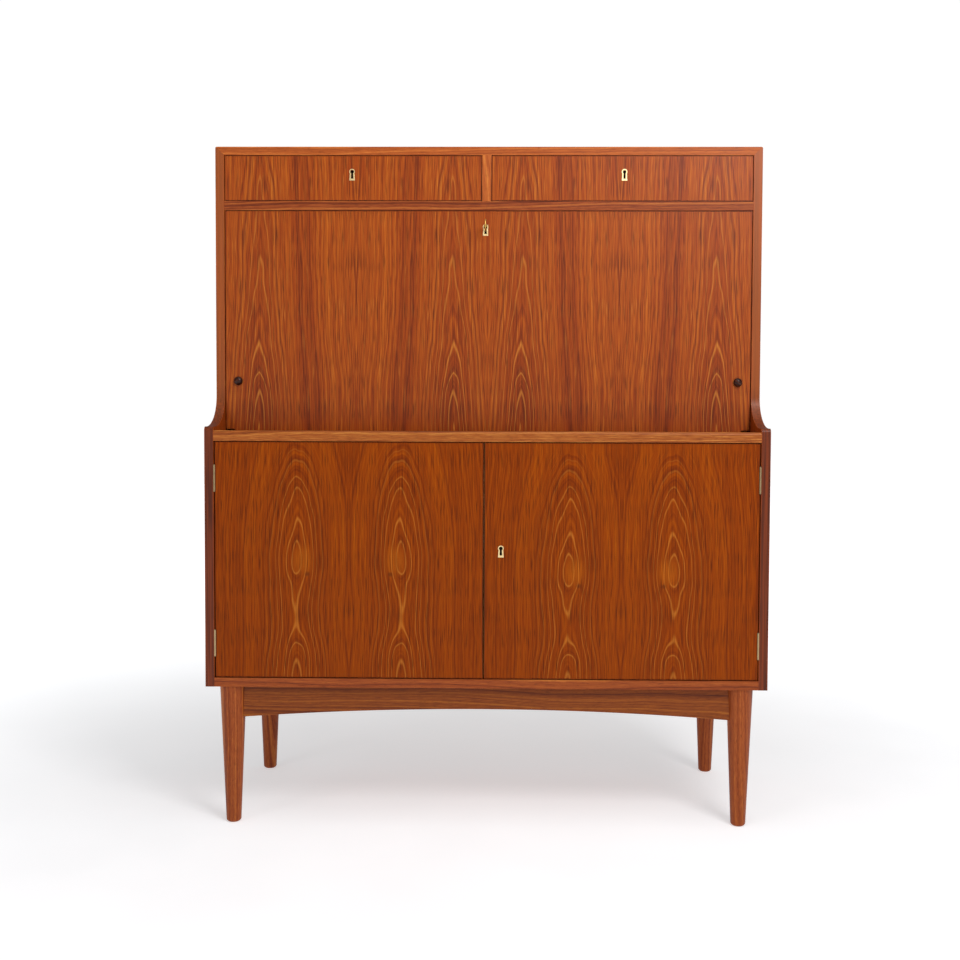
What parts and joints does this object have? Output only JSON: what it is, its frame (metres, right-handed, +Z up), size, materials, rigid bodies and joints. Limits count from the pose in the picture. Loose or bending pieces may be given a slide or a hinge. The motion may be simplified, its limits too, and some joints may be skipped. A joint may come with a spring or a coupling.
{
  "type": "secretary desk",
  "caption": "Teak secretary desk with drawers over a drop flap, a ledge in front of it, a deeper two-door cabinet below and tapered round legs.",
  "frame": {"origin": "on the floor, under the centre of the whole desk's bounding box", "axes": "+X to the viewer's right, +Y towards the back, +Z up"},
  "size_m": [1.06, 0.415, 1.3],
  "materials": {
    "teak_veneer": "oiled teak veneer, satin",
    "solid_teak": "oiled solid teak, satin",
    "birch": "lacquered birch, satin",
    "back_ply": "raw plywood, matt",
    "rosewood": "turned rosewood, semi-gloss",
    "brass": "polished brass",
    "aged_brass": "aged brass",
    "lock_steel": "bright steel"
  },
  "bodies": {
    "case": {"left_side_panel": "teak_veneer", "right_side_panel": "teak_veneer", "top_board": "teak_veneer", "drawer_rail_board": "solid_teak", "drawer_divider": "solid_teak", "ledge_board": "solid_teak", "cabinet_deck": "birch", "desk_bed": "teak_veneer", "bed_bearers": "birch", "pigeonhole_shelf": "teak_veneer", "pigeonhole_dividers": "teak_veneer", "flap_stop": "teak_veneer", "bottom_board": "teak_veneer", "centre_partition": "birch", "left_shelf": "birch", "right_shelf": "birch", "shelf_pins": "brass", "back_panel": "back_ply", "carcass_screws": "lock_steel", "pivot_bushes": "aged_brass", "front_left_leg": "solid_teak", "front_right_leg": "solid_teak", "back_left_leg": "solid_teak", "back_right_leg": "solid_teak", "front_apron": "solid_teak", "back_apron": "solid_teak", "left_side_rail": "solid_teak", "right_side_rail": "solid_teak", "hinge_case_leaves": "aged_brass"},
    "left_drawer": {"left_drawer_front": "teak_veneer", "left_drawer_sides": "birch", "left_drawer_back": "birch", "left_drawer_bottom": "birch", "left_drawer_lock": "lock_steel", "left_drawer_escutcheon": "brass"},
    "left_drawer_bolt": {"left_drawer_bolt": "brass"},
    "right_drawer": {"right_drawer_front": "teak_veneer", "right_drawer_sides": "birch", "right_drawer_back": "birch", "right_drawer_bottom": "birch", "right_drawer_lock": "lock_steel", "right_drawer_escutcheon": "brass"},
    "right_drawer_bolt": {"right_drawer_bolt": "brass"},
    "flap": {"flap_panel": "teak_veneer", "flap_buttons": "rosewood", "flap_pivots": "aged_brass", "flap_lock": "lock_steel", "flap_escutcheon": "brass"},
    "flap_bolt": {"flap_bolt": "brass"},
    "flap_key": {"flap_key": "brass"},
    "left_door": {"left_door_panel": "teak_veneer", "left_door_hinge_leaves": "aged_brass", "left_door_bolt_guides": "brass"},
    "left_door_bolt": {"left_door_bolt": "brass"},
    "right_door": {"right_door_panel": "teak_veneer", "right_door_hinge_leaves": "aged_brass", "right_door_lock": "lock_steel", "right_door_escutcheon": "brass"},
    "right_door_bolt": {"right_door_bolt": "brass"}
  },
  "joints": [
    {"name": "left_drawer_slide", "type": "slide", "parent": "case", "child": "left_drawer", "axis": [0, -1, 0], "range_m": [0, 0.22]},
    {"name": "left_drawer_bolt_slide", "type": "slide", "parent": "left_drawer", "child": "left_drawer_bolt", "axis": [0, 0, 1], "range_m": [0, 0.005]},
    {"name": "right_drawer_slide", "type": "slide", "parent": "case", "child": "right_drawer", "axis": [0, -1, 0], "range_m": [0, 0.22]},
    {"name": "right_drawer_bolt_slide", "type": "slide", "parent": "right_drawer", "child": "right_drawer_bolt", "axis": [0, 0, 1], "range_m": [0, 0.005]},
    {"name": "flap_hinge", "type": "hinge", "parent": "case", "child": "flap", "pos_m": [0, -0.099, 0.766], "axis": [1, 0, 0], "range_deg": [0, 90]},
    {"name": "flap_key_turn", "type": "hinge", "parent": "flap", "child": "flap_key", "pos_m": [-0.0045, -0.106, 1.1462], "axis": [0, 1, 0], "range_deg": [0, 180]},
    {"name": "flap_bolt_slide", "type": "slide", "parent": "flap", "child": "flap_bolt", "axis": [0, 0, 1], "range_m": [0, 0.005]},
    {"name": "left_door_hinge", "type": "hinge", "parent": "case", "child": "left_door", "pos_m": [-0.5122, -0.2051, 0.504], "axis": [0, 0, -1], "range_deg": [0, 95]},
    {"name": "left_door_bolt_slide", "type": "slide", "parent": "left_door", "child": "left_door_bolt", "axis": [0, 0, 1], "range_m": [0, 0.008]},
    {"name": "right_door_hinge", "type": "hinge", "parent": "case", "child": "right_door", "pos_m": [0.5122, -0.2051, 0.504], "axis": [0, 0, 1], "range_deg": [0, 95]},
    {"name": "right_door_bolt_slide", "type": "slide", "parent": "right_door", "child": "right_door_bolt", "axis": [-1, 0, 0], "range_m": [0, 0.005]}
  ],
  "couplings": [
    {"joint": "flap_bolt_slide", "follows": "flap_key_turn", "m_per_rad": 0.00159}
  ]
}
